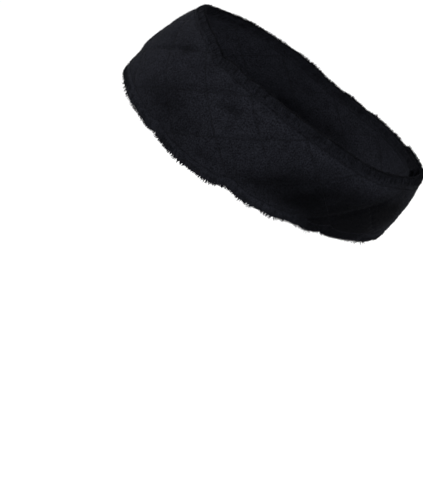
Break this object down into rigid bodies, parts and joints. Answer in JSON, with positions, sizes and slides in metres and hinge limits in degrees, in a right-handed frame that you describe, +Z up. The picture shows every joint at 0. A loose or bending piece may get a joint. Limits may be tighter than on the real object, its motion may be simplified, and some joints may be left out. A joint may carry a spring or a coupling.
{
  "type": "wig grip band",
  "caption": "Quilted velvet wig grip band with overlocked borders, wide at the forehead and narrow at the nape, lapped at the back over a hook-and-loop fastener.",
  "frame": {"origin": "centre of the head that the band is worn on, in the middle of the loop", "axes": "+Z up on the upright wearer, -Y the way the wearer faces, +X the wearer's left"},
  "size_m": [0.1557, 0.1802, 0.1392],
  "materials": {
    "velvet": "matt velvet pile",
    "overlock_thread": "matt spun thread",
    "hook_tape": "woven nylon tape"
  },
  "bodies": {
    "root": {"quilted_band": "velvet", "upper_border": "overlock_thread", "lower_border": "overlock_thread", "outer_end_border": "overlock_thread", "inner_end_border": "overlock_thread", "hook_fastener": "hook_tape"}
  },
  "joints": []
}
